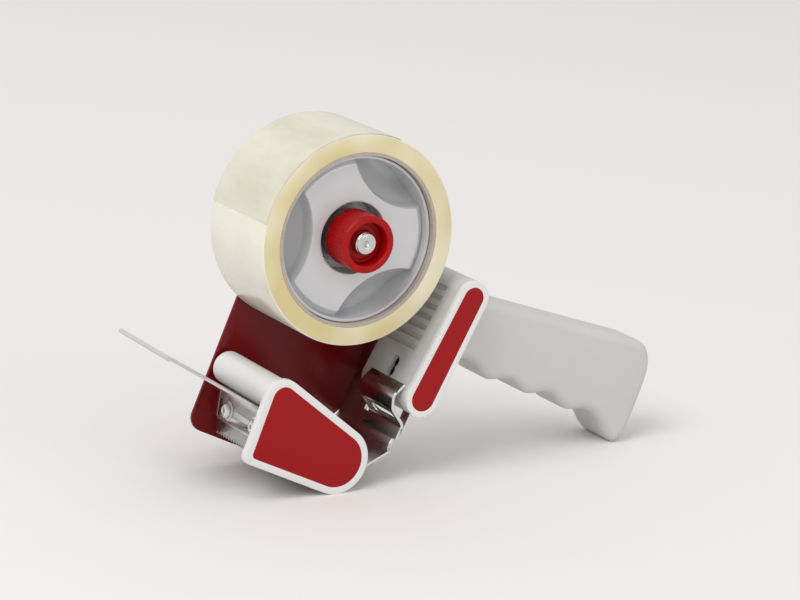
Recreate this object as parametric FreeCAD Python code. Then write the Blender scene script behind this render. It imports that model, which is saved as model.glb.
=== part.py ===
import FreeCAD, Part
import math
import os

# Pistol-grip packing-tape dispenser with a roll on its hub, lying on its nose and the tip of its grip.
# Every piece is drawn in the dispenser's own frame: the roll's axis is the Y axis, +X runs back
# along the grip, +Z is up. One turn about Y and one shift then stand the whole tool on the floor.

V = FreeCAD.Vector

# Driving dimensions, in millimetres and degrees
REST_TILT = 25.0              # how far the tool leans forward on its nose
TAPE_WIDTH = 50.0
CORE_BORE_R = 38.1            # cardboard core of the standard three-inch kind
CORE_WALL = 1.6
ROLL_R = 48.0
TAIL_ANGLE = 202.0             # where the loose end of the tape lies, round from +X
TAIL_SPAN = 100.0
TAIL_T = 0.25
GRIP_LENGTH = 119.0           # from the bracket's back to the butt of the grip
NOSE_DROP = 93.5              # from the roll's axis down to the guide roller's axis
SHEET = 1.5                   # thickness of the steel sheet pieces
FACE_GAP = 1.5                # between the roll's far face and the side plate
COVER_GAP = 3.4               # between the roll's near face and the inside of the nose cover

# Clearances
RUNNING = 0.06                # radial, shaft in its bush
SEATED = 0.02                 # radial, pin in its tight hole
FREE = 0.3                    # between pieces that move past each other

# Side plate and the planes that follow from the tape
TAPE_HALF = TAPE_WIDTH / 2
PLATE_IN = TAPE_HALF + FACE_GAP
PLATE_OUT = PLATE_IN + SHEET

# Nose
COVER_T = 2.6
COVER_LIP = 0.8
LABEL_T = 0.8
COVER_IN = -TAPE_HALF - COVER_GAP
COVER_OUT = COVER_IN - COVER_T
BAR_X = -5.3
BAR_Z = 16.6 - NOSE_DROP
BAR_R = 7.6
BAR_END_GAP = 2.0
COVER_BAR_R = 8.8
COVER_ROLLER_R = 15.5
COVER_CORNER_R = 3.2
COVER_RIM = 3.2
INLAY_CORNER_R = 2.2
ROD_R = 3.0
ROLLER_X = 34.0
ROLLER_Z = -NOSE_DROP
ROLLER_R = 13.0
ROLLER_TUBE_R = 10.5
ROLLER_END_GAP = 2.0
SHAFT_R = 4.0
BUSH_WALL = 2.0
BUSH_LENGTH = 8.0
BUSH_FLANGE_R = 8.0
BUSH_FLANGE_T = 1.5
BOSS_R = 7.0
TOE_X = -8.5                  # the nose cover's lowest front corner
TOE_Z = BAR_Z - 29.1

# Blade and flap
BLADE_TILT = -17.3
BLADE_TOP_X = -4.0
BLADE_TOP_Z = BAR_Z - 9.9
HOLDER_DROP = 14.0
HOLDER_FLANGE = 10.0
HOLDER_END = 22.0
HOLDER_CUTAWAY_R = 9.0
BLADE_T = 0.8
BLADE_LAP = 9.0
BLADE_DROP = 7.4
TOOTH_PITCH = 2.4
TOOTH_HEIGHT = 1.9
BLADE_SCREW_Y = 13.0
BLADE_SCREW_DROP = 8.0
FLAP_T = 1.0
FLAP_REACH = 58.5
FLAP_RISE = 6.2
FLAP_HALF = 24.0
BEAD_R = 1.1
CLAMP_T = 0.8

# Axle, hub and brake
AXLE_R = 5.2
AXLE_NOSE = -31.5
SPIGOT_R = 4.0
COLLAR_R = 9.0
COLLAR_T = 1.3
HUB_LIP_R = 43.0
HUB_LIP_T = 1.0
HUB_CLEARANCE = 0.3
HUB_WALL = 1.4
HUB_FRONT = -24.2
SPOKE_FRONT = -20.0
SCOOP_FLOOR = -8.0
WEB_BACK = -5.0
RECESS_R = 16.3
RECESS_FLOOR = -9.0
SCOOP_R = 33.3
SCOOP_REACH = 54.3
SCOOP_START = 80.0
HUB_BOSS_R = 11.0
HUB_BUSH_R = 8.0
FIBRE_T = 1.2
DISC_T = 1.2
BRAKE_R = 13.5
SPRING_R = 11.5
SPRING_T = 0.8
PRESSURE_R = 12.0
PRESSURE_T = 1.2
KNOB_R = 13.0
KNOB_BACK = -16.5
KNOB_FRONT = -33.5
KNOB_RIM = 3.2
KNOB_DISH = 6.0
KNOB_FLUTES = 36
FLUTE_R = 0.7
INSERT_R = 8.0

# Grip bracket
BRACKET_X = 65.2
BRACKET_TOP = (BRACKET_X, -2.8, 8.0)
BRACKET_FOOT = (BRACKET_X - 2.6, -53.3, 8.7)
BRACKET_WALL = 2.4
BRACKET_END = 10.0
CAP_T = 2.5
CAP_RIM = 2.8
RIB_COUNT = 7
RIB_PITCH = 5.0
RIB_HEIGHT = 2.4
RIB_DEPTH = 0.9
WEB_X = BRACKET_X - 3.2       # the steel web's middle plane, inside the bracket

BRACKET_SCREW_Y = -20.0
BRACKET_SCREW_Z = (-7.0, -25.0)

# Grip
GRIP_HALF = 14.0
GRIP_WALL = 3.0
GRIP_EDGE_R = 4.5
GRIP_START = BRACKET_X + 7.8
GRIP_SCREW_R = 1.7
GRIP_BOSS_R = 4.2
TANG_T = 3.0
TANG_END = GRIP_START + 77.0

RIVET_Y = (-8.0, 4.0)
RIVET_Z = -16.0

# Fasteners
SCREW_R = 1.5
HEAD_R = 3.5
HEAD_T = 2.2
WASHER_R = 4.4
WASHER_T = 0.6
NUT_R = 3.2
NUT_T = 2.4
SINK_R = 3.0

BODY = {}


def rod(x, z, radius, y0, y1):
    """A round bar along Y from y0 to y1."""
    return Part.makeCylinder(radius, y1 - y0, V(x, y0, z), V(0, 1, 0))


def ring(x, z, outer, inner, y0, y1):
    """A tube along Y."""
    return rod(x, z, outer, y0, y1).cut(rod(x, z, inner, y0, y1))


def box(x0, x1, y0, y1, z0, z1):
    return Part.makeBox(x1 - x0, y1 - y0, z1 - z0, V(x0, y0, z0))


def slab(wire, y0, y1):
    """The flat outline, drawn at y = 0, made solid from y0 to y1."""
    face = Part.Face(wire)
    face.translate(V(0, y0, 0))
    return face.extrude(V(0, y1 - y0, 0))


def rounded(corners, closed=True):
    """A wire of straight runs joined by tangent arcs; each corner is (x, z, radius)."""
    count = len(corners)
    starts = []
    ends = []
    edges = []
    for i, (x, z, radius) in enumerate(corners):
        here = V(x, 0, z)
        if not closed and i in (0, count - 1):
            starts.append(here)
            ends.append(here)
            edges.append(None)
            continue
        before = V(corners[i - 1][0], 0, corners[i - 1][1]) - here
        after = V(corners[(i + 1) % count][0], 0, corners[(i + 1) % count][1]) - here
        before.normalize()
        after.normalize()
        half = before.getAngle(after) / 2
        setback = radius / math.tan(half)
        middle = before + after
        middle.normalize()
        reach = radius / math.sin(half) - radius
        starts.append(here + before * setback)
        ends.append(here + after * setback)
        arc = Part.Arc(starts[-1], here + middle * reach, ends[-1])
        edges.append(arc.toShape())
    wire = []
    for i in range(count):
        if edges[i] is not None:
            wire.append(edges[i])
        if closed or i < count - 1:
            wire.append(Part.makeLine(ends[i], starts[(i + 1) % count]))
    return Part.Wire(wire)


def belt(discs):
    """The closed outline drawn tight round a few discs, each (x, z, radius), listed clockwise."""
    count = len(discs)
    tangents = []
    for i, (x0, z0, r0) in enumerate(discs):
        x1, z1, r1 = discs[(i + 1) % count]
        run = math.hypot(x1 - x0, z1 - z0)
        heading = math.atan2(z1 - z0, x1 - x0)
        normal = heading + math.acos((r0 - r1) / run)
        tangents.append((normal, V(x0 + r0 * math.cos(normal), 0, z0 + r0 * math.sin(normal)),
                         V(x1 + r1 * math.cos(normal), 0, z1 + r1 * math.sin(normal))))
    edges = []
    for i, (x, z, radius) in enumerate(discs):
        angle_in, _, arrive = tangents[i - 1]
        angle_out, leave, land = tangents[i]
        turn = (angle_in - angle_out) % (2 * math.pi)
        middle = angle_in - turn / 2
        crown = V(x + radius * math.cos(middle), 0, z + radius * math.sin(middle))
        edges.append(Part.Arc(arrive, crown, leave).toShape())
        edges.append(Part.makeLine(leave, land))
    return Part.Wire(edges)


def strip(corners, thickness, y0, y1):
    """Bent sheet: a path of (x, z, radius) corners thickened evenly to both sides."""
    path = rounded(corners, closed=False)
    face = path.makeOffset2D(thickness / 2, 0, True, True)
    other = path.makeOffset2D(-thickness / 2, 0, True, True)
    sheet = face.fuse(other).removeSplitter()
    sheet.translate(V(0, y0, 0))
    return sheet.extrude(V(0, y1 - y0, 0))


def countersunk(x, z, y_face, length, shank=SCREW_R, head=SINK_R):
    """A flush screw or rivet along Y; its head lies in the face at y_face, its shank runs by length."""
    way = 1 if length > 0 else -1
    depth = head - shank
    cone = Part.makeCone(head, shank, depth, V(x, y_face, z), V(0, way, 0))
    pin = Part.makeCylinder(shank, abs(length), V(x, y_face, z), V(0, way, 0))
    return cone.fuse(pin).removeSplitter()


def across(x0, x1, y, z, radius):
    """A round bar along X."""
    return Part.makeCylinder(radius, x1 - x0, V(x0, y, z), V(1, 0, 0))


def inset(disc, by):
    return (disc[0], disc[1], disc[2] - by)


def save(node, body, shape):
    """Keep one sub-part under its name until all of them are stood on the floor."""
    BODY[node] = (body, shape)


# ---------------------------------------------------------------- steel frame

def side_plate():
    """Flat steel side: nose, roll's axle and grip bracket all fasten to it."""
    heel = ROLLER_Z - COVER_ROLLER_R
    outline = rounded([
        (-9.5, heel, 7.0),
        (-14.5, -30.0, 20.0),
        (-12.0, 24.0, 18.0),
        (20.0, 22.0, 18.0),
        (WEB_X + 9.0, 2.0, 8.0),
        (WEB_X + 9.0, -36.0, 6.0),
        (WEB_X + 0.5, -42.0, 6.0),
        (WEB_X + 0.5, -76.0, 8.0),
        (46.0, -99.0, 4.0),
        (40.0, heel, 12.0),
    ])
    plate = slab(outline, PLATE_IN, PLATE_OUT)
    plate = plate.fuse(rod(ROLLER_X, ROLLER_Z, COVER_ROLLER_R, PLATE_IN, PLATE_OUT)).removeSplitter()
    for x, z, radius in ((0, 0, SPIGOT_R), (BAR_X, BAR_Z, ROD_R), (ROLLER_X, ROLLER_Z, SHAFT_R)):
        plate = plate.cut(rod(x, z, radius, PLATE_IN, PLATE_OUT))
    return plate


WEB_PATH = [
    (WEB_X, 2.0, 0),
    (WEB_X, -30.0, 8.0),
    (WEB_X - 2.6, -36.0, 5.0),
    (WEB_X + 0.8, -56.0, 14.0),
    (WEB_X + 0.8, -79.0, 9.0),
    (WEB_X - 10.5, -92.0, 0),
]
STRAP_PATH = [
    (WEB_X - 8.6, -51.0, 0),
    (WEB_X - 12.0, -57.5, 4.0),
    (WEB_X - 9.4, -63.2, 4.0),
    (WEB_X + 0.8 - SHEET, -68.2, 3.0),
    (WEB_X + 0.8 - SHEET, -75.5, 0),
]
NEAR_EDGE = -TAPE_HALF - 2.0
WINDOW_Y = (-21.0, 8.0)       # opening in the web behind the strap's slot
WINDOW_Z = (-70.0, -58.0)


def chassis_web():
    """Bent cross sheet: up inside the bracket, down behind the guide roller, notched at its near end."""
    web = strip(WEB_PATH, SHEET, NEAR_EDGE, PLATE_IN)
    web = web.cut(across(WEB_X - 20, WEB_X + 20, NEAR_EDGE, -76.5, 5.0))
    web = web.cut(box(WEB_X - 4, WEB_X + 4, *WINDOW_Y, *WINDOW_Z))
    for z in BRACKET_SCREW_Z:
        web = web.cut(across(WEB_X - 4, WEB_X + 4, BRACKET_SCREW_Y, z, SCREW_R))
    for y in RIVET_Y:
        web = web.cut(across(WEB_X - 4, WEB_X + 4, y, RIVET_Z, SCREW_R))
    return web


def slotted_strap():
    """Formed strap that cradles the bracket's foot; its lower leg is welded to the web."""
    strap = strip(STRAP_PATH, SHEET, NEAR_EDGE, 2.0)
    slope = math.degrees(math.atan2(5.0, 9.7))
    slot = Part.makeBox(10, 14.5, 5.5, V(-5, -7.25, -2.75))
    for y in (-7.25, 7.25):
        slot = slot.fuse(Part.makeCylinder(2.75, 10, V(-5, y, 0), V(1, 0, 0)))
    slot.rotate(V(0, 0, 0), V(0, 1, 0), slope - 90)
    slot.translate(V(WEB_X - 5.0, -15.0, -65.6))
    return strap.cut(slot)


def build_frame():
    save("side_plate", "frame", side_plate())
    save("chassis_web", "frame", chassis_web())
    save("slotted_strap", "frame", slotted_strap())


# ---------------------------------------------------------------- nose

BAR_DISC = (BAR_X, BAR_Z, COVER_BAR_R)
ROLLER_DISC = (ROLLER_X, ROLLER_Z, COVER_ROLLER_R)


def cover_outline(by):
    """The nose cover's outline, drawn in by a rim width."""
    toe_r = max(COVER_CORNER_R - by, INLAY_CORNER_R)
    slip = max(by + toe_r - COVER_CORNER_R, 0)
    toe = (TOE_X + slip, TOE_Z + slip, toe_r)
    return belt([inset(BAR_DISC, by), inset(ROLLER_DISC, by), toe])


def nose_cover():
    """White moulding: face with a sunk panel, a short lip round its back, and the long nose bar."""
    face = slab(cover_outline(0), COVER_OUT, COVER_IN + COVER_LIP)
    hollow = slab(cover_outline(COVER_T), COVER_IN, COVER_IN + COVER_LIP)
    panel = slab(cover_outline(COVER_RIM), COVER_OUT, COVER_OUT + LABEL_T)
    bar = rod(BAR_X, BAR_Z, BAR_R, COVER_IN, PLATE_IN - BAR_END_GAP)
    bar = bar.makeFillet(2.5, [bar.Edges[i] for i in range(len(bar.Edges))
                               if bar.Edges[i].BoundBox.YMin > PLATE_IN - BAR_END_GAP - 0.1])
    boss = rod(ROLLER_X, ROLLER_Z, BOSS_R, COVER_IN, COVER_IN + COVER_LIP)
    cover = face.cut(hollow).cut(panel).fuse(bar).fuse(boss)
    cover = cover.cut(rod(BAR_X, BAR_Z, ROD_R + SEATED, COVER_IN, PLATE_IN))
    cover = cover.cut(rod(ROLLER_X, ROLLER_Z, SHAFT_R + SEATED, COVER_IN, PLATE_IN))
    for x, z in ((BAR_X, BAR_Z), (ROLLER_X, ROLLER_Z)):
        cover = cover.cut(countersunk(x, z, COVER_OUT + LABEL_T, COVER_T + 1))
    return cover.removeSplitter()


def build_nose():
    save("nose_cover", "frame", nose_cover())
    save("nose_label", "frame", slab(cover_outline(COVER_RIM), COVER_OUT, COVER_OUT + LABEL_T))
    screws = []
    for node, x, z, radius in (("nose_rod", BAR_X, BAR_Z, ROD_R),
                               ("roller_shaft", ROLLER_X, ROLLER_Z, SHAFT_R)):
        screw = countersunk(x, z, COVER_OUT + LABEL_T, 9.0)
        screws.append(screw)
        save(node, "frame", rod(x, z, radius, COVER_IN, PLATE_OUT).cut(screw))
    save("cover_screws", "frame", Part.makeCompound(screws))


def build_roller():
    """Guide roller: rubber sleeve on a plastic tube that turns on two flanged bushes."""
    end = PLATE_IN - ROLLER_END_GAP
    bush_r = SHAFT_R + RUNNING + BUSH_WALL
    save("roller_sleeve", "roller", ring(ROLLER_X, ROLLER_Z, ROLLER_R, ROLLER_TUBE_R, -end, end))
    save("roller_tube", "roller", ring(ROLLER_X, ROLLER_Z, ROLLER_TUBE_R, bush_r, -end, end))
    bushes = []
    for way in (-1, 1):
        inner = way * (end - BUSH_LENGTH)
        outer = way * (end + BUSH_FLANGE_T)
        bush = rod(ROLLER_X, ROLLER_Z, bush_r, min(inner, outer), max(inner, outer))
        flange = rod(ROLLER_X, ROLLER_Z, BUSH_FLANGE_R, min(way * end, outer), max(way * end, outer))
        bush = bush.fuse(flange).cut(rod(ROLLER_X, ROLLER_Z, SHAFT_R + RUNNING, -PLATE_IN, PLATE_IN))
        bushes.append(bush.removeSplitter())
    save("roller_bushes", "roller", Part.makeCompound(bushes))


# ---------------------------------------------------------------- blade and flap
# Drawn upright: X is depth behind the holder's front face, Z is height above its top edge.

def lean(shape):
    """Tip a piece drawn upright onto the holder's slope."""
    shape.rotate(V(0, 0, 0), V(0, 1, 0), BLADE_TILT)
    shape.translate(V(BLADE_TOP_X, 0, BLADE_TOP_Z))
    return shape


def blade_holes(depth):
    holes = [across(-1, depth, side * BLADE_SCREW_Y, -BLADE_SCREW_DROP, SCREW_R) for side in (-1, 1)]
    return Part.makeCompound(holes)


def blade_holder():
    """Sheet with a flange along its top and a tab at its far end, welded to the side plate."""
    holder = box(0, SHEET, NEAR_EDGE, HOLDER_END, -HOLDER_DROP, 0)
    cutaway = across(-1, SHEET + 1, HOLDER_END + HOLDER_CUTAWAY_R - 2.5, -HOLDER_DROP / 2, HOLDER_CUTAWAY_R)
    holder = holder.cut(cutaway)
    flange = box(0, HOLDER_FLANGE, NEAR_EDGE, PLATE_IN, -SHEET, 0)
    tab = box(SHEET, HOLDER_FLANGE, PLATE_IN - SHEET, PLATE_IN, -HOLDER_DROP, 0)
    return holder.fuse(flange).fuse(tab).cut(blade_holes(SHEET + 1)).removeSplitter()


def blade():
    """Hardened strip behind the holder with a saw edge below it."""
    near = NEAR_EDGE + 1.0
    far = PLATE_IN - SHEET - 0.5
    teeth = int((far - near) / TOOTH_PITCH)
    root = -HOLDER_DROP - BLADE_DROP + TOOTH_HEIGHT
    pitch = (far - near) / teeth
    points = [V(SHEET, near, -HOLDER_DROP + BLADE_LAP), V(SHEET, near, root)]
    for i in range(teeth):
        points.append(V(SHEET, near + (i + 0.5) * pitch, root - TOOTH_HEIGHT))
        points.append(V(SHEET, near + (i + 1) * pitch, root))
    points.append(V(SHEET, far, -HOLDER_DROP + BLADE_LAP))
    points.append(points[0])
    strip_of_steel = Part.Face(Part.makePolygon(points)).extrude(V(BLADE_T, 0, 0))
    return strip_of_steel.cut(blade_holes(SHEET + BLADE_T + 1))


def build_blade():
    screws = []
    washers = []
    nuts = []
    for side in (-1, 1):
        y = side * BLADE_SCREW_Y
        z = -BLADE_SCREW_DROP
        shank = across(-WASHER_T, SHEET + BLADE_T + NUT_T, y, z, SCREW_R)
        head = across(-WASHER_T - HEAD_T, -WASHER_T, y, z, HEAD_R)
        screws.append(shank.fuse(head).removeSplitter())
        washers.append(across(-WASHER_T, 0, y, z, WASHER_R).cut(shank))
        turns = [math.radians(60 * k) for k in range(7)]
        corners = [V(0, y + NUT_R * math.cos(turn), z + NUT_R * math.sin(turn)) for turn in turns]
        nut = Part.Face(Part.makePolygon(corners)).extrude(V(NUT_T, 0, 0))
        nut.translate(V(SHEET + BLADE_T, 0, 0))
        nuts.append(nut.cut(shank))
    save("blade_holder", "frame", lean(blade_holder()))
    save("blade", "frame", lean(blade()))
    save("blade_screws", "frame", lean(Part.makeCompound(screws)))
    save("blade_washers", "frame", lean(Part.makeCompound(washers)))
    save("blade_nuts", "frame", lean(Part.makeCompound(nuts)))


def build_flap():
    """Springy film flap: its root is clamped on the holder's flange, its blade bends at the edge."""
    root = box(-0.4, HOLDER_FLANGE - 1, -FLAP_HALF, FLAP_HALF, 0, FLAP_T)
    clamp = box(3.0, HOLDER_FLANGE - 1, -FLAP_HALF, FLAP_HALF, FLAP_T, FLAP_T + CLAMP_T)
    save("flap_root", "frame", lean(root))
    save("flap_clamp", "frame", lean(clamp))
    film = box(-FLAP_REACH, -FREE, -FLAP_HALF, FLAP_HALF, -FLAP_T / 2, FLAP_T / 2)
    bead = rod(-FLAP_REACH, 0, BEAD_R, -FLAP_HALF, FLAP_HALF)
    flap = film.fuse(bead).removeSplitter()
    flap.rotate(V(0, 0, 0), V(0, 1, 0), FLAP_RISE)
    flap.translate(V(BLADE_TOP_X - 1.0, 0, BLADE_TOP_Z + 0.7))
    save("flap", "flap", flap)


# ---------------------------------------------------------------- roll, hub and brake

def build_axle():
    """Turned axle: spigot riveted flush in the side plate, collar, plain end with a centre mark."""
    axle = rod(0, 0, AXLE_R, AXLE_NOSE, PLATE_IN)
    axle = axle.makeChamfer(0.6, [edge for edge in axle.Edges if edge.BoundBox.YMax < AXLE_NOSE + 0.1])
    axle = axle.fuse(rod(0, 0, SPIGOT_R, PLATE_IN, PLATE_OUT))
    axle = axle.fuse(rod(0, 0, COLLAR_R, PLATE_IN - COLLAR_T, PLATE_IN))
    mark = Part.makeCone(1.5, 0, 1.5, V(0, AXLE_NOSE, 0), V(0, 1, 0))
    save("axle", "frame", axle.cut(mark).removeSplitter())


def hub():
    """Moulded hub: rim in the core, lip behind the roll, thick face with three scoops and a recess."""
    rim_r = CORE_BORE_R - HUB_CLEARANCE
    lip_front = TAPE_HALF + 0.1
    back = lip_front + HUB_LIP_T
    body = ring(0, 0, rim_r, rim_r - HUB_WALL, HUB_FRONT, back)
    body = body.fuse(ring(0, 0, HUB_LIP_R, rim_r - HUB_WALL, lip_front, back))
    face = rod(0, 0, rim_r - HUB_WALL / 2, SPOKE_FRONT, WEB_BACK)
    for k in range(3):
        angle = math.radians(SCOOP_START + 120 * k)
        x = SCOOP_REACH * math.cos(angle)
        z = SCOOP_REACH * math.sin(angle)
        face = face.cut(rod(x, z, SCOOP_R, SPOKE_FRONT, SCOOP_FLOOR))
    boss = rod(0, 0, HUB_BOSS_R, WEB_BACK, PLATE_IN - COLLAR_T - FREE)
    body = body.fuse(face).fuse(boss)
    body = body.cut(rod(0, 0, RECESS_R, SPOKE_FRONT, RECESS_FLOOR))
    return body.cut(rod(0, 0, HUB_BUSH_R, RECESS_FLOOR, PLATE_IN)).removeSplitter()


def build_hub():
    bush_end = PLATE_IN - COLLAR_T - FREE
    save("hub", "hub", hub())
    save("hub_bush", "hub", ring(0, 0, HUB_BUSH_R, AXLE_R + RUNNING, RECESS_FLOOR, bush_end))
    fibre_front = RECESS_FLOOR - FIBRE_T
    save("friction_washer", "hub", ring(0, 0, BRAKE_R, AXLE_R + FREE, fibre_front, RECESS_FLOOR))


def build_roll():
    """Cardboard core, the wound tape, and the film's last stretch lying on it."""
    core_r = CORE_BORE_R + CORE_WALL
    save("tape_core", "roll", ring(0, 0, core_r, CORE_BORE_R, -TAPE_HALF, TAPE_HALF))
    save("tape_roll", "roll", ring(0, 0, ROLL_R, core_r, -TAPE_HALF, TAPE_HALF))
    tail = ring(0, 0, ROLL_R + TAIL_T, ROLL_R, -TAPE_HALF, TAPE_HALF)
    wedge = Part.makeCylinder(2 * ROLL_R, 2 * TAPE_WIDTH, V(0, -TAPE_WIDTH, 0), V(0, 1, 0), TAIL_SPAN)
    wedge.rotate(V(0, 0, 0), V(0, 1, 0), TAIL_SPAN - TAIL_ANGLE)
    save("tape_tail", "roll", tail.common(wedge))


def brake_spring(y0, y1):
    """Two conical spring washers, set rim to rim between the brake disc and the pressure washer."""
    middle = (y0 + y1) / 2
    washers = []
    for end in (y0, y1):
        way = 1 if end < middle else -1
        section = Part.makePolygon([
            V(AXLE_R + FREE, end, 0),
            V(SPRING_R, middle - way * SPRING_T, 0),
            V(SPRING_R, middle, 0),
            V(AXLE_R + FREE, end + way * SPRING_T, 0),
            V(AXLE_R + FREE, end, 0),
        ])
        washers.append(Part.Face(section).revolve(V(0, 0, 0), V(0, 1, 0), 360))
    return Part.makeCompound(washers)


def build_brake():
    disc_back = RECESS_FLOOR - FIBRE_T
    disc_front = disc_back - DISC_T
    washer_back = KNOB_BACK + 0.1 + PRESSURE_T
    save("brake_disc", "frame", ring(0, 0, BRAKE_R, AXLE_R + SEATED, disc_front, disc_back))
    save("brake_spring", "brake", brake_spring(washer_back, disc_front))
    save("pressure_washer", "brake", ring(0, 0, PRESSURE_R, AXLE_R + RUNNING, KNOB_BACK + 0.1, washer_back))


def build_knob():
    """Knurled knob with a dished front, moulded round a threaded insert."""
    knob = rod(0, 0, KNOB_R, KNOB_FRONT, KNOB_BACK)
    knob = knob.makeFillet(0.8, [edge for edge in knob.Edges if edge.BoundBox.YLength < 0.01])
    knob = knob.cut(rod(0, 0, KNOB_R - KNOB_RIM, KNOB_FRONT, KNOB_FRONT + KNOB_DISH))
    knob = knob.cut(rod(0, 0, INSERT_R, KNOB_FRONT, KNOB_BACK))
    for k in range(KNOB_FLUTES):
        angle = 2 * math.pi * k / KNOB_FLUTES
        reach = KNOB_R + FLUTE_R / 2
        knob = knob.cut(rod(reach * math.cos(angle), reach * math.sin(angle), FLUTE_R, KNOB_FRONT, KNOB_BACK))
    save("tension_knob", "knob", knob)
    front = KNOB_FRONT + KNOB_DISH
    save("knob_insert", "knob", ring(0, 0, INSERT_R, AXLE_R + RUNNING, front, KNOB_BACK))


# ---------------------------------------------------------------- grip bracket and grip

def bracket_outline(by):
    return belt([inset(BRACKET_TOP, by), inset(BRACKET_FOOT, by)])


def bracket_front(z):
    """How far forward the bracket's front face lies at height z."""
    x0, z0, r0 = BRACKET_TOP
    x1, z1, r1 = BRACKET_FOOT
    return x0 - r0 + (z0 - z) / (z0 - z1) * ((x1 - r1) - (x0 - r0))


def handle_bracket():
    """Grey sleeve over the web: ribbed front, open far end, slits for the web and the tang."""
    near = COVER_OUT + CAP_T
    shell = slab(bracket_outline(0), near, BRACKET_END)
    shell = shell.cut(slab(bracket_outline(BRACKET_WALL), near, BRACKET_END))
    for k in range(RIB_COUNT):
        z = -2.7 - RIB_PITCH * k
        front = bracket_front(z)
        shell = shell.cut(box(front - 5, front + RIB_DEPTH, -20, BRACKET_END - 4, z - RIB_HEIGHT, z))
    window = across(WEB_X - 17, WEB_X - 2, -10, -48.0, 3.0)
    shell = shell.cut(window.fuse(across(WEB_X - 17, WEB_X - 2, -10, -43.5, 3.0)))
    shell = shell.cut(strip(WEB_PATH, SHEET + 2 * FREE, near, BRACKET_END))
    back = BRACKET_TOP[0] + BRACKET_TOP[2]
    for z in BRACKET_SCREW_Z:
        boss = across(WEB_X + SHEET / 2, back - 1.5, BRACKET_SCREW_Y, z, 3.5)
        shell = shell.fuse(boss)
    tang_slit = box(WEB_X + SHEET, back + 2, -TANG_T / 2 - FREE, TANG_T / 2 + FREE, -27, -7)
    shell = shell.cut(tang_slit)
    for z in BRACKET_SCREW_Z:
        shell = shell.cut(across(WEB_X, back - 3.0, BRACKET_SCREW_Y, z, SCREW_R))
    return shell.removeSplitter()


def build_bracket():
    near = COVER_OUT + CAP_T
    label = slab(bracket_outline(CAP_RIM), COVER_OUT, COVER_OUT + LABEL_T)
    save("handle_bracket", "frame", handle_bracket())
    save("bracket_cap", "frame", slab(bracket_outline(0), COVER_OUT, near).cut(label))
    save("bracket_label", "frame", label)
    screws = []
    front = WEB_X - SHEET / 2
    for z in BRACKET_SCREW_Z:
        shank = across(front, BRACKET_TOP[0] + BRACKET_TOP[2] - 3.0, BRACKET_SCREW_Y, z, SCREW_R)
        screws.append(shank.fuse(across(front - 1.5, front, BRACKET_SCREW_Y, z, 2.8)).removeSplitter())
    save("bracket_screws", "frame", Part.makeCompound(screws))


GRIP_SCREWS = ((GRIP_START + 22, -17.0), (GRIP_START + 66, -13.0), (GRIP_START + 104, -8.0))


def grip_point(along, z):
    return V(GRIP_START + along, 0, z)


def grip_outline():
    """Side view of the grip: straight back, rounded butt, four finger hollows underneath."""
    end = GRIP_LENGTH
    front_top = grip_point(-6, -3.4)
    front_foot = grip_point(-6, -33.5)
    heel = grip_point(end - 14.0, 11.0)
    toe = grip_point(end - 4.0, -38.8)
    butt = Part.BSplineCurve()
    butt.interpolate([heel, grip_point(end - 8.0, 9.0), grip_point(end - 3.4, 3.0),
                      grip_point(end - 1.2, -7.0),
                      grip_point(end, -24.0), grip_point(end - 0.8, -34.0), toe])
    hollows = Part.BSplineCurve()
    hollows.interpolate([toe, grip_point(end - 9.5, -37.2), grip_point(end - 17.0, -32.3),
                         grip_point(end - 27.5, -29.6), grip_point(end - 38.5, -33.0),
                         grip_point(end - 50.5, -29.2), grip_point(end - 63.5, -33.6),
                         grip_point(end - 75.0, -30.8), grip_point(end - 87.0, -34.6),
                         grip_point(end - 100.5, -30.0), grip_point(end - 112.0, -32.5), front_foot])
    return Part.Wire([Part.makeLine(front_top, heel), butt.toShape(), hollows.toShape(),
                      Part.makeLine(front_foot, front_top)])


def grip_half(way):
    """One half of the grip; way is -1 for the near side and +1 for the far side."""
    outer = max(0, way * GRIP_HALF)
    inner = min(0, way * GRIP_HALF)
    half = slab(grip_outline(), inner, outer)
    rim = [edge for edge in half.Edges if edge.BoundBox.YLength < 0.01
           and abs(edge.CenterOfMass.y - way * GRIP_HALF) < 0.01 and edge.BoundBox.XMax > GRIP_START - 5]
    half = half.makeFillet(GRIP_EDGE_R, rim)
    floor = way * (GRIP_HALF - GRIP_WALL)
    cavity = slab(rounded([(GRIP_START + 2, -26, 2), (GRIP_START + 2, -6.5, 2),
                           (GRIP_START + GRIP_LENGTH - 18, 4, 3), (GRIP_START + GRIP_LENGTH - 7, -8, 3),
                           (GRIP_START + GRIP_LENGTH - 7, -25, 3)]),
                  min(0, floor), max(0, floor))
    half = half.cut(cavity)
    for x, z in GRIP_SCREWS:
        seat = way * TANG_T / 2 if x < TANG_END else 0
        half = half.fuse(rod(x, z, GRIP_BOSS_R, min(seat, floor), max(seat, floor)))
    mouth = box(GRIP_START - 8, GRIP_START + 3, -TANG_T / 2 - FREE, TANG_T / 2 + FREE, -27, -7)
    half = half.cut(mouth)
    half = half.cut(slab(bracket_outline(0), -GRIP_HALF, GRIP_HALF))
    for x, z in GRIP_SCREWS:
        half = half.cut(countersunk(x, z, GRIP_HALF, -2 * GRIP_HALF + GRIP_WALL, GRIP_SCREW_R, 3.2))
    return half.removeSplitter()


def handle_tang():
    """Steel tang: foot riveted to the web, blade running into the grip."""
    foot_x = WEB_X + SHEET / 2
    tang = box(foot_x, TANG_END, -TANG_T / 2, TANG_T / 2, -24.0, -9.5)
    tang = tang.fuse(box(foot_x, foot_x + 2, -12, 6, -22, -10))
    for x, z in GRIP_SCREWS:
        tang = tang.cut(rod(x, z, GRIP_SCREW_R, -TANG_T, TANG_T))
    for y in RIVET_Y:
        tang = tang.cut(across(foot_x - 1, foot_x + 2, y, RIVET_Z, SCREW_R))
    return tang.removeSplitter()


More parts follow.
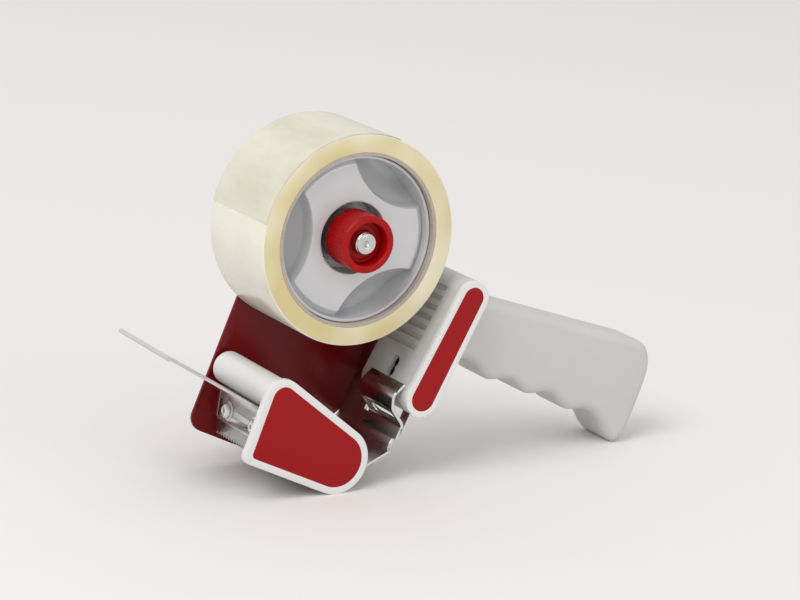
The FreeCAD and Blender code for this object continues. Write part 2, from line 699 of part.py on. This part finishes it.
def build_grip():
    save("handle_near_half", "frame", grip_half(-1))
    save("handle_far_half", "frame", grip_half(1))
    save("handle_tang", "frame", handle_tang())
    screws = [countersunk(x, z, GRIP_HALF, -2 * GRIP_HALF + GRIP_WALL, GRIP_SCREW_R, 3.2)
              for x, z in GRIP_SCREWS]
    save("handle_screws", "frame", Part.makeCompound(screws))
    rivets = []
    front = WEB_X - SHEET / 2
    for y in RIVET_Y:
        rivet = across(front, front + SHEET + 2, y, RIVET_Z, SCREW_R)
        rivets.append(rivet.fuse(across(front - 1.2, front, y, RIVET_Z, 2.6)).removeSplitter())
    save("tang_rivets", "frame", Part.makeCompound(rivets))


def stand_and_write():
    """Tip everything onto the nose, stand it on z = 0 with its box centred, and write the files."""
    os.makedirs("parts", exist_ok=True)
    for _, shape in BODY.values():
        shape.rotate(V(0, 0, 0), V(0, 1, 0), REST_TILT)
    whole = Part.makeCompound([shape for _, shape in BODY.values()]).optimalBoundingBox()
    shift = V(-whole.Center.x, -whole.Center.y, -whole.ZMin)
    for node, (_, shape) in BODY.items():
        shape.translate(shift)
        shape.exportStep(os.path.join("parts", node + ".step"))
    print("roll axis at", [round(value, 4) for value in shift])
    print("box", round(whole.XLength, 3), round(whole.YLength, 3), round(whole.ZLength, 3))


build_frame()
build_nose()
build_roller()
build_blade()
build_flap()
build_axle()
build_hub()
build_roll()
build_brake()
build_knob()
build_bracket()
build_grip()
stand_and_write()
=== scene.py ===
import bmesh
import bpy
import math
from mathutils import Matrix, Vector


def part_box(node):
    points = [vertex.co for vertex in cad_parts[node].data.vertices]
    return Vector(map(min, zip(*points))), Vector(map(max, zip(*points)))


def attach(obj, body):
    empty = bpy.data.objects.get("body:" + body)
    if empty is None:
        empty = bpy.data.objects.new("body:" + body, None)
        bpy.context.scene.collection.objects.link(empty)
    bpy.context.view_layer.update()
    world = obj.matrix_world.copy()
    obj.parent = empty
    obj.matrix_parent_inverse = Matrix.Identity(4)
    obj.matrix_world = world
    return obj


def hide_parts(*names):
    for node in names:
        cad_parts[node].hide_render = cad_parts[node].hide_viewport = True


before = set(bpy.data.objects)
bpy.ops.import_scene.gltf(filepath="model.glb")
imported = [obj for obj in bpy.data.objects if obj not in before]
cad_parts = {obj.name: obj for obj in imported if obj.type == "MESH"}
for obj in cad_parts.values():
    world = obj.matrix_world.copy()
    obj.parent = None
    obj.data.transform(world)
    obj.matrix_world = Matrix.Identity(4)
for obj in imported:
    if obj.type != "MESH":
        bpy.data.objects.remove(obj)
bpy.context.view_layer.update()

# The tool's own frame: millimetres, the roll's axis along Y, +X along the grip. The whole tool
# is tipped forward on its nose, and every piece is drawn level and then tipped with it.
core_low, core_high = (Vector(corner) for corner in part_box("tape_core"))
axis_centre = (core_low + core_high) / 2
tool = Matrix.Translation(axis_centre) @ Matrix.Rotation(math.radians(25), 4, "Y") @ Matrix.Scale(0.001, 4)


def place(mesh, name, body, materials, smooth_over=35):
    """Tip a finished bmesh into the tool's place, make it an object and let it ride on a body."""
    mesh.transform(tool)
    bmesh.ops.remove_doubles(mesh, verts=mesh.verts, dist=1e-6)
    bmesh.ops.recalc_face_normals(mesh, faces=mesh.faces)
    for edge in mesh.edges:
        edge.smooth = len(edge.link_faces) < 2 or edge.calc_face_angle(0) < math.radians(smooth_over)
    for face in mesh.faces:
        face.smooth = True
    data = bpy.data.meshes.new(name)
    mesh.to_mesh(data)
    mesh.free()
    piece = bpy.data.objects.new(name, data)
    bpy.context.scene.collection.objects.link(piece)
    for material in materials:
        data.materials.append(material)
    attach(piece, body)
    return piece


def lathe(outline, steps=180):
    """Turn a closed outline of (radius, y) points about the roll's axis."""
    mesh = bmesh.new()
    ring = [mesh.verts.new((radius, y, 0)) for radius, y in outline]
    edges = [mesh.edges.new((ring[i - 1], ring[i])) for i in range(len(ring))]
    bmesh.ops.spin(mesh, geom=ring + edges, cent=(0, 0, 0), axis=(0, 1, 0), dvec=(0, 0, 0),
                   angle=math.tau, steps=steps, use_merge=True, use_duplicate=False)
    bmesh.ops.remove_doubles(mesh, verts=mesh.verts, dist=1e-4)
    return mesh


def linear(colour):
    """An sRGB hex colour as linear light."""
    parts = [int(colour[i:i + 2], 16) / 255 for i in (0, 2, 4)]
    return tuple(p / 12.92 if p <= 0.04045 else ((p + 0.055) / 1.055) ** 2.4 for p in parts) + (1.0,)


def add(material, kind, settings=None, links=None):
    """Add a node, set its settings and sockets, and link sockets into it."""
    node = material.node_tree.nodes.new(kind)
    for key, value in (settings or {}).items():
        if isinstance(key, str) and hasattr(node, key):
            setattr(node, key, value)
        else:
            node.inputs[key].default_value = value
    for key, source in (links or {}).items():
        material.node_tree.links.new(source, node.inputs[key])
    return node


def material_of(name, colour, roughness, **sockets):
    """A new material whose one shader has this colour and roughness and the given sockets."""
    material = bpy.data.materials.new(name)
    material.use_nodes = True
    shader = material.node_tree.nodes["Principled BSDF"]
    shader.inputs["Base Color"].default_value = linear(colour)
    shader.inputs["Roughness"].default_value = roughness
    for key, value in sockets.items():
        shader.inputs[key.replace("_", " ")].default_value = value
    return material, shader


def mottle(material, shader, light, dark, size_mm, rough_low, rough_high, bump_mm=0.0):
    """Uneven colour and gloss over patches of a real size, with an optional fine grain in relief."""
    where = add(material, "ShaderNodeTexCoord").outputs["Object"]
    patches = add(material, "ShaderNodeTexNoise", {"Scale": 1000 / size_mm, "Detail": 4.0}, {"Vector": where})
    tint = add(material, "ShaderNodeMix", {"data_type": "RGBA", 6: linear(light), 7: linear(dark)},
               {0: patches.outputs["Fac"]})
    gloss = add(material, "ShaderNodeMapRange", {"From Min": 0.3, "From Max": 0.7, "To Min": rough_low,
                "To Max": rough_high}, {"Value": patches.outputs["Fac"]})
    link = material.node_tree.links.new
    link(tint.outputs[2], shader.inputs["Base Color"])
    link(gloss.outputs["Result"], shader.inputs["Roughness"])
    if bump_mm:
        grain = add(material, "ShaderNodeTexNoise", {"Scale": 1800.0, "Detail": 3.0}, {"Vector": where})
        relief = add(material, "ShaderNodeBump", {"Strength": 0.5, "Distance": bump_mm / 1000},
                     {"Height": grain.outputs["Fac"]})
        link(relief.outputs["Normal"], shader.inputs["Normal"])


def dress(node, material, edge_mm=0.0):
    """Give a carried-over part its material, join its facets and round its edges a little."""
    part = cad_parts[node]
    part.data.materials.clear()
    part.data.materials.append(material)
    for face in part.data.polygons:
        face.use_smooth = True
        face.material_index = 0
    weld = part.modifiers.new("joined", "WELD")
    weld.merge_threshold = 1e-6
    if edge_mm:
        bevel = part.modifiers.new("edges", "BEVEL")
        bevel.width = edge_mm / 1000
        bevel.segments = 3
        bevel.limit_method = "ANGLE"
        bevel.angle_limit = math.radians(40)
        bevel.harden_normals = True
        bevel.use_clamp_overlap = True
    else:
        split = part.modifiers.new("corners", "EDGE_SPLIT")
        split.split_angle = math.radians(30)


# Side plate. Pressed steel sheet, powder-coated red and baked to a gloss, its red darkened as painted shade for the
# shade on its inner face behind the roll; the axle, the nose rod and the roller shaft are riveted through it. The coat
# has a faint orange peel.
red_enamel_with_painted_shade, shader = material_of("powder coated steel", "74080C", 0.3, Specular_IOR_Level=0.22, Coat_Weight=0.06,
                                 Coat_Roughness=0.15)
where = add(red_enamel_with_painted_shade, "ShaderNodeTexCoord").outputs["Object"]
peel = add(red_enamel_with_painted_shade, "ShaderNodeTexNoise", {"Scale": 450.0, "Detail": 1.0}, {"Vector": where})
relief = add(red_enamel_with_painted_shade, "ShaderNodeBump", {"Strength": 0.15, "Distance": 0.0002}, {"Height": peel.outputs["Fac"]})
red_enamel_with_painted_shade.node_tree.links.new(relief.outputs["Normal"], shader.inputs["Normal"])
dress("side_plate", red_enamel_with_painted_shade, 0.3)

# Cross web and slotted strap. Thin steel sheet bent on a press and bright-zinc plated, so it
# mirrors the red plate beside it; drawing marks leave it faintly streaked.
bright_zinc, shader = material_of("bright zinc plated steel", "DEDEDC", 0.2, Metallic=1.0)
where = add(bright_zinc, "ShaderNodeTexCoord").outputs["Object"]
stretch = add(bright_zinc, "ShaderNodeMapping", {"Scale": (60.0, 12.0, 60.0)}, {"Vector": where})
streaks = add(bright_zinc, "ShaderNodeTexNoise", {"Scale": 1.0, "Detail": 3.0},
              {"Vector": stretch.outputs["Vector"]})
gloss = add(bright_zinc, "ShaderNodeMapRange", {"From Min": 0.3, "From Max": 0.7, "To Min": 0.14, "To Max": 0.34},
            {"Value": streaks.outputs["Fac"]})
ripple = add(bright_zinc, "ShaderNodeTexNoise", {"Scale": 45.0, "Detail": 0.0}, {"Vector": where})
relief = add(bright_zinc, "ShaderNodeBump", {"Strength": 0.12, "Distance": 0.001}, {"Height": ripple.outputs["Fac"]})
bright_zinc.node_tree.links.new(gloss.outputs["Result"], shader.inputs["Roughness"])
bright_zinc.node_tree.links.new(relief.outputs["Normal"], shader.inputs["Normal"])
dress("chassis_web", bright_zinc, 0.25)
dress("slotted_strap", bright_zinc, 0.25)

# Nose cover and bracket cap. Injection-moulded white ABS with a satin skin and softened edges;
# each has a sunk panel that takes a red inlay, left plain.
white_abs, shader = material_of("white moulded ABS", "E2E2E0", 0.38, IOR=1.53)
mottle(white_abs, shader, "E6E6E4", "DADAD8", 30, 0.32, 0.42, 0.02)
dress("nose_cover", white_abs, 0.7)
dress("bracket_cap", white_abs, 0.7)
red_inlay, shader = material_of("red printed polycarbonate", "980E14", 0.45, Specular_IOR_Level=0.18)
mottle(red_inlay, shader, "9E1015", "960C12", 45, 0.4, 0.5, 0.01)
dress("nose_label", red_inlay, 0.15)
dress("bracket_label", red_inlay, 0.15)

# Nose rod, shafts and inner fasteners. Cold-drawn steel bar and cut screws, left bare,
# with a soft sheen and slightly uneven gloss.
bare_steel, shader = material_of("cold drawn steel", "A9A9A7", 0.3, Metallic=1.0)
mottle(bare_steel, shader, "A0A09E", "8C8C8A", 3, 0.34, 0.5)
for node in ("nose_rod", "roller_shaft", "cover_screws", "brake_disc", "brake_spring", "pressure_washer",
             "bracket_screws", "handle_tang", "tang_rivets", "blade_nuts", "handle_screws"):
    dress(node, bare_steel)

# Guide roller. A black rubber sleeve pulled over a moulded tube, running on two acetal bushes;
# the rubber is ground, so it is matt with fine scratches round it.
rubber, shader = material_of("ground nitrile rubber", "1F1E1E", 0.7)
mottle(rubber, shader, "262424", "181717", 4, 0.6, 0.8, 0.05)
dress("roller_sleeve", rubber, 0.5)
acetal, shader = material_of("natural acetal", "E6E3DA", 0.35, IOR=1.48)
mottle(acetal, shader, "E9E6DD", "DCD9CF", 8, 0.3, 0.42)
dress("roller_bushes", acetal)
dress("hub_bush", acetal)
grey_abs, shader = material_of("light grey moulded ABS", "C2C2C0", 0.4, IOR=1.53)
mottle(grey_abs, shader, "C6C6C4", "BABAB8", 25, 0.34, 0.46, 0.02)
dress("roller_tube", grey_abs)

# Blade and its holder. The holder is plated sheet; the blade is hardened strip, ground bright,
# with a saw edge; two pan-head screws with washers clamp it.
blade_steel, shader = material_of("ground hardened strip", "B0B0AE", 0.28, Metallic=1.0)
mottle(blade_steel, shader, "B8B8B6", "9A9A98", 2, 0.22, 0.36)
dress("blade", blade_steel)
satin_zinc, shader = material_of("brushed zinc plated steel", "DADAD8", 0.4, Metallic=1.0)
mottle(satin_zinc, shader, "E0E0DE", "CCCCCA", 5, 0.32, 0.46)
dress("blade_holder", satin_zinc, 0.2)
dress("blade_washers", bright_zinc, 0.1)
dress("flap_clamp", bright_zinc, 0.1)
for side in (-1, 1):
    screw = lathe([(0.0, -3.0), (0.7, -3.0), (0.9, -3.9), (1.5, -4.1), (2.5, -3.9), (3.3, -3.2), (3.5, -2.4),
                   (3.5, -2.0), (3.2, -1.9), (1.5, -1.9), (1.5, 5.0), (0.0, 5.0)], 40)
    screw.transform(Matrix.Translation((0, 0, -8.0)) @ Matrix.Rotation(math.radians(-90), 4, "Z"))
    screw.transform(Matrix.Translation((1.3, 13.0 * side, 0)))
    screw.transform(Matrix.Translation((-4.0, 0, -86.8)) @ Matrix.Rotation(math.radians(-17.3), 4, "Y"))
    piece = place(screw, "blade_screw_far" if side > 0 else "blade_screw_near", "frame", [bright_zinc])
    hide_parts("blade_screws")

# Flap. A die-cut tongue of frosted film that springs down on the tape, with a moulded bead along
# its tip; light passes through it, and its edges look whiter.
frosted, shader = material_of("frosted polypropylene film", "CFCBC9", 0.42, IOR=1.49, Transmission_Weight=0.12)
mottle(frosted, shader, "D6D2D0", "C6C2C0", 12, 0.36, 0.5)
flap = bmesh.new()
tip_arc = [(-58.5 + 1.05 * math.cos(t), 1.05 * math.sin(t))
           for t in (math.radians(30 + 300 * k / 14) for k in range(15))]
section = [(-0.35, 0.5), (-20.0, 0.5), (-40.0, 0.45), (-56.6, 0.4)] + tip_arc
section += [(-56.6, -0.4), (-40.0, -0.45), (-20.0, -0.5), (-0.35, -0.5)]
outline = [flap.verts.new((x, -24.0, z)) for x, z in section]
side_face = flap.faces.new(outline)
swept = bmesh.ops.extrude_face_region(flap, geom=[side_face])["geom"]
bmesh.ops.translate(flap, verts=[v for v in swept if isinstance(v, bmesh.types.BMVert)], vec=(0, 48.0, 0))
flap.transform(Matrix.Translation((-5.0, 0, -86.1)) @ Matrix.Rotation(math.radians(6.2), 4, "Y"))
piece = place(flap, "film_flap", "flap", [frosted])
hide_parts("flap")
dress("flap_root", frosted)

# Axle. Turned from bright bar, with the tool's rings and a centre mark left on its end.
turned, shader = material_of("turned bright steel", "CFCFCD", 0.2, Metallic=1.0)
where = add(turned, "ShaderNodeTexCoord").outputs["Object"]
centred = add(turned, "ShaderNodeMapping", {"vector_type": "POINT", "Location": tuple(-axis_centre)}, {"Vector": where})
rings = add(turned, "ShaderNodeTexWave", {"wave_type": "RINGS", "rings_direction": "Y", "Scale": 320.0,
            "Distortion": 0.4}, {"Vector": centred.outputs["Vector"]})
relief = add(turned, "ShaderNodeBump", {"Strength": 0.35, "Distance": 0.0002}, {"Height": rings.outputs["Fac"]})
turned.node_tree.links.new(relief.outputs["Normal"], shader.inputs["Normal"])
dress("axle", turned, 0.2)
fibre, shader = material_of("pressed fibre board", "5A4A38", 0.8)
mottle(fibre, shader, "64533F", "4C3E2E", 3, 0.7, 0.9, 0.04)
dress("friction_washer", fibre)

# Hub. Moulded in light grey plastic: a thin rim inside the core, a lip behind the roll, and a thick
# face with three scoops between broad spokes and a deep recess for the brake.
outline = [(8.0, 24.9), (8.0, -9.0), (15.9, -9.0), (16.3, -9.4), (16.3, -19.2), (16.5, -19.8), (17.0, -20.0)]
outline += [(17.0 + 0.32 * k, -20.0) for k in range(1, 60)]
outline += [(36.4, -19.9), (36.4, -22.0), (36.6, -22.3), (37.5, -22.3), (37.8, -22.0), (37.8, 25.1), (42.6, 25.1),
            (43.0, 25.4), (43.0, 26.1), (36.4, 26.1), (36.4, -3.6), (36.0, -3.0), (11.0, -3.0), (11.0, 24.9)]
hub = lathe(outline, 360)
for vert in hub.verts:
    reach = math.hypot(vert.co.x, vert.co.z)
    if not (17.05 < reach < 36.5 and -20.5 < vert.co.y < -19.5):
        continue
    chamfer = max(0.0, reach - 33.2)
    vert.co.y += 0.7 * chamfer * min(1.0, chamfer / 1.2)
    for k in range(3):
        bearing = math.radians(80 + 120 * k)
        inside = 33.3 - math.hypot(vert.co.x - 54.3 * math.cos(bearing), vert.co.z - 54.3 * math.sin(bearing))
        if inside > 0:
            edge = min(1.0, inside / 1.6)
            bowl = 9.0 * math.sin(math.pi / 2 * min(1.0, inside / 12.0))
            vert.co.y = max(vert.co.y, -20.0 + 4.4 * edge * edge * (3 - 2 * edge) + bowl)
hub_abs, shader = material_of("silver grey moulded ABS hub", "CCCDCE", 0.32, IOR=1.6, Metallic=0.2)
mottle(hub_abs, shader, "D2D3D4", "C6C7C8", 30, 0.28, 0.36, 0.0)
piece = place(hub, "moulded_hub", "hub", [hub_abs], 28)
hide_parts("hub")

# Core. Spiral-wound grey-brown board, three plies thick, cut square; the butt of each turn shows
# inside as a fine slanting line and the cut ends are fibrous.
board, shader = material_of("spiral wound core board", "B5A9A0", 0.8)
mottle(board, shader, "BDB1A8", "A3968C", 1.2, 0.75, 0.9, 0.08)
core = lathe([(38.1, -24.8), (38.3, -25.0), (39.5, -25.0), (39.7, -24.8), (39.7, 24.8), (39.5, 25.0), (38.3, 25.0),
              (38.1, 24.8)])
piece = place(core, "board_core", "roll", [board])
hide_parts("tape_core")

# Wound tape. Hundreds of layers of clear film with a pale yellow adhesive; the cut sides show
# the layers as faint rings and are yellower than the outside, where light passes a few layers only.
centre_of_roll = tuple(-axis_centre)
wound_side, shader = material_of("wound film, cut side", "DDCFA0", 0.4, IOR=1.49, Specular_IOR_Level=0.35)
where = add(wound_side, "ShaderNodeTexCoord").outputs["Object"]
centred = add(wound_side, "ShaderNodeMapping", {"Location": centre_of_roll}, {"Vector": where})
# The layers are a twentieth of a millimetre; they are drawn ten times coarser, or they would not show.
layers = add(wound_side, "ShaderNodeTexWave", {"wave_type": "RINGS", "rings_direction": "Y", "Scale": 620.0,
             "Distortion": 3.0, "Detail": 3.0, "Detail Scale": 0.4}, {"Vector": centred.outputs["Vector"]})
clouds = add(wound_side, "ShaderNodeTexNoise", {"Scale": 28.0, "Detail": 2.0}, {"Vector": where})
spread = add(wound_side, "ShaderNodeMapRange", {"From Min": 0.35, "From Max": 0.65}, {"Value": clouds.outputs["Fac"]})
patchy = add(wound_side, "ShaderNodeMix", {"data_type": "RGBA", 6: linear("EAE3CA"), 7: linear("D6C691")},
             {0: spread.outputs["Result"]})
thin = add(wound_side, "ShaderNodeMath", {"operation": "MULTIPLY", 1: 0.25}, {0: layers.outputs["Fac"]})
tint = add(wound_side, "ShaderNodeMix", {"data_type": "RGBA", 7: linear("C9BA86")},
           {0: thin.outputs["Value"], 6: patchy.outputs[2]})
relief = add(wound_side, "ShaderNodeBump", {"Strength": 0.12, "Distance": 0.0002}, {"Height": layers.outputs["Fac"]})
wound_side.node_tree.links.new(tint.outputs[2], shader.inputs["Base Color"])
wound_side.node_tree.links.new(relief.outputs["Normal"], shader.inputs["Normal"])


def film(name, light, dark):
    """Clear film over its adhesive: glossy, with long soft wrinkles that run across the roll."""
    material, surface = material_of(name, light, 0.22, IOR=1.49, Specular_IOR_Level=0.6)
    place_on = add(material, "ShaderNodeTexCoord").outputs["Object"]
    along = add(material, "ShaderNodeMapping", {"Scale": (45.0, 16.0, 45.0)}, {"Vector": place_on})
    clouds = add(material, "ShaderNodeTexNoise", {"Scale": 1.0, "Detail": 5.0, "Roughness": 0.6},
                 {"Vector": along.outputs["Vector"]})
    across = add(material, "ShaderNodeMapping", {"Scale": (900.0, 60.0, 900.0)}, {"Vector": place_on})
    lines = add(material, "ShaderNodeTexNoise", {"Scale": 1.0, "Detail": 2.0}, {"Vector": across.outputs["Vector"]})
    contrast = add(material, "ShaderNodeMapRange", {"From Min": 0.36, "From Max": 0.66},
                   {"Value": clouds.outputs["Fac"]})
    shade = add(material, "ShaderNodeMix", {"data_type": "RGBA", 6: linear(light), 7: linear(dark)},
                {0: contrast.outputs["Result"]})
    wrinkle = add(material, "ShaderNodeBump", {"Strength": 0.3, "Distance": 0.0004}, {"Height": clouds.outputs["Fac"]})
    fine = add(material, "ShaderNodeBump", {"Strength": 0.15, "Distance": 0.0002},
               {"Height": lines.outputs["Fac"], "Normal": wrinkle.outputs["Normal"]})
    material.node_tree.links.new(shade.outputs[2], surface.inputs["Base Color"])
    material.node_tree.links.new(fine.outputs["Normal"], surface.inputs["Normal"])
    return material


outside = film("clear polypropylene film", "EAE7D9", "E0DBC8")
roll = lathe([(39.7, -24.9), (39.8, -25.0), (47.4, -25.0), (47.8, -24.8), (48.0, -24.3), (48.0, -8.0), (48.0, 8.0),
              (48.0, 24.5), (47.9, 24.85), (47.4, 25.0), (39.8, 25.0), (39.7, 24.9)], 240)
for face in roll.faces:
    face.normal_update()
    face.material_index = 1 if abs(face.normal.y) > 0.9 else 0
piece = place(roll, "wound_tape", "roll", [outside, wound_side])
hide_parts("tape_roll")
tail_film = film("loose end of the film", "E0DCCB", "CFCAB4")
dress("tape_tail", tail_film)

# Tension knob. Moulded red around a threaded insert, finely fluted for the fingers, with a round
# dish in its front that leaves room for the end of the axle.
knob = lathe([(8.0, -16.5), (8.0, -27.5), (9.3, -27.5), (9.8, -27.0), (9.8, -32.9), (10.3, -33.4), (11.2, -33.5),
              (12.4, -33.3), (13.0, -32.6), (13.0, -31.8), (13.0, -24.5), (13.0, -17.6), (12.6, -16.8),
              (12.0, -16.5)], 288)
for vert in knob.verts:
    reach = math.hypot(vert.co.x, vert.co.z)
    if reach > 12.9 and -32.0 < vert.co.y < -17.5:
        turn = math.atan2(vert.co.z, vert.co.x)
        shrink = 1 - 0.018 * (0.5 + 0.5 * math.cos(48 * turn)) ** 2
        vert.co.x *= shrink
        vert.co.z *= shrink
red_abs, shader = material_of("bright red moulded ABS", "A90509", 0.36, Specular_IOR_Level=0.2)
mottle(red_abs, shader, "AE060A", "960306", 3, 0.3, 0.44, 0.08)
piece = place(knob, "fluted_knob", "knob", [red_abs])
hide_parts("tension_knob")
dress("knob_insert", red_abs, 0.3)

# Grip bracket. A grey moulded sleeve round the web, ribbed where the thumb rests.
dress("handle_bracket", grey_abs, 0.3)

# Grip. Two moulded halves in light grey with a fine spark-eroded grain, closed by three screws
# from the far side; finger hollows run along the underside.
grained, shader = material_of("grained grey polypropylene", "C8C5C1", 0.55, IOR=1.5)
mottle(grained, shader, "CCCAC8", "C3C1BE", 40, 0.5, 0.62, 0.06)
dress("handle_near_half", grained)
dress("handle_far_half", grained)

# Floor, lights and camera. A pale sweep under a broad soft light from high on the left, a weaker
# one in front, and an even pale surround.
floor_mesh = bmesh.new()
bmesh.ops.create_grid(floor_mesh, x_segments=1, y_segments=1, size=8.0)
floor_data = bpy.data.meshes.new("floor")
floor_mesh.to_mesh(floor_data)
floor_mesh.free()
floor = bpy.data.objects.new("floor", floor_data)
bpy.context.scene.collection.objects.link(floor)
paper, shader = material_of("matt paper sweep", "E8E5E4", 0.9)
floor_data.materials.append(paper)

world = bpy.data.worlds.new("surround")
bpy.context.scene.world = world
world.use_nodes = True
world.node_tree.nodes["Background"].inputs["Color"].default_value = linear("F7F7F7")
world.node_tree.nodes["Background"].inputs["Strength"].default_value = 0.78


def soft_light(name, position, size, power):
    """A square soft box that looks at the tool."""
    lamp = bpy.data.lights.new(name, "AREA")
    lamp.shape = "SQUARE"
    lamp.size = size
    lamp.energy = power
    box = bpy.data.objects.new(name, lamp)
    box.location = position
    box.rotation_euler = (axis_centre - Vector(position)).to_track_quat("-Z", "Y").to_euler()
    bpy.context.scene.collection.objects.link(box)


soft_light("soft_box_high", (-2.6, -1.2, 3.6), 2.6, 95.0)
soft_light("soft_box_front", (1.4, -4.2, 1.6), 2.2, 22.0)

azimuth, elevation, roll_angle = (math.radians(angle) for angle in (-31.35, 14.81, 3.22))
backward = Vector((math.sin(azimuth) * math.cos(elevation), -math.cos(azimuth) * math.cos(elevation),
                   math.sin(elevation)))
level = Vector((math.cos(azimuth), math.sin(azimuth), 0))
upward = backward.cross(level)
right = math.cos(roll_angle) * level + math.sin(roll_angle) * upward
top = -math.sin(roll_angle) * level + math.cos(roll_angle) * upward
eye = axis_centre + Vector((0.0379, 0, -0.0368)) + backward * 1.37
lens = bpy.data.cameras.new("camera")
lens.lens = 135
lens.sensor_width = 36
camera = bpy.data.objects.new("camera", lens)
camera.matrix_world = Matrix.Translation(eye) @ Matrix((right, top, backward)).transposed().to_4x4()
bpy.context.scene.collection.objects.link(camera)
bpy.context.scene.camera = camera
bpy.context.scene.view_settings.view_transform = "Standard"
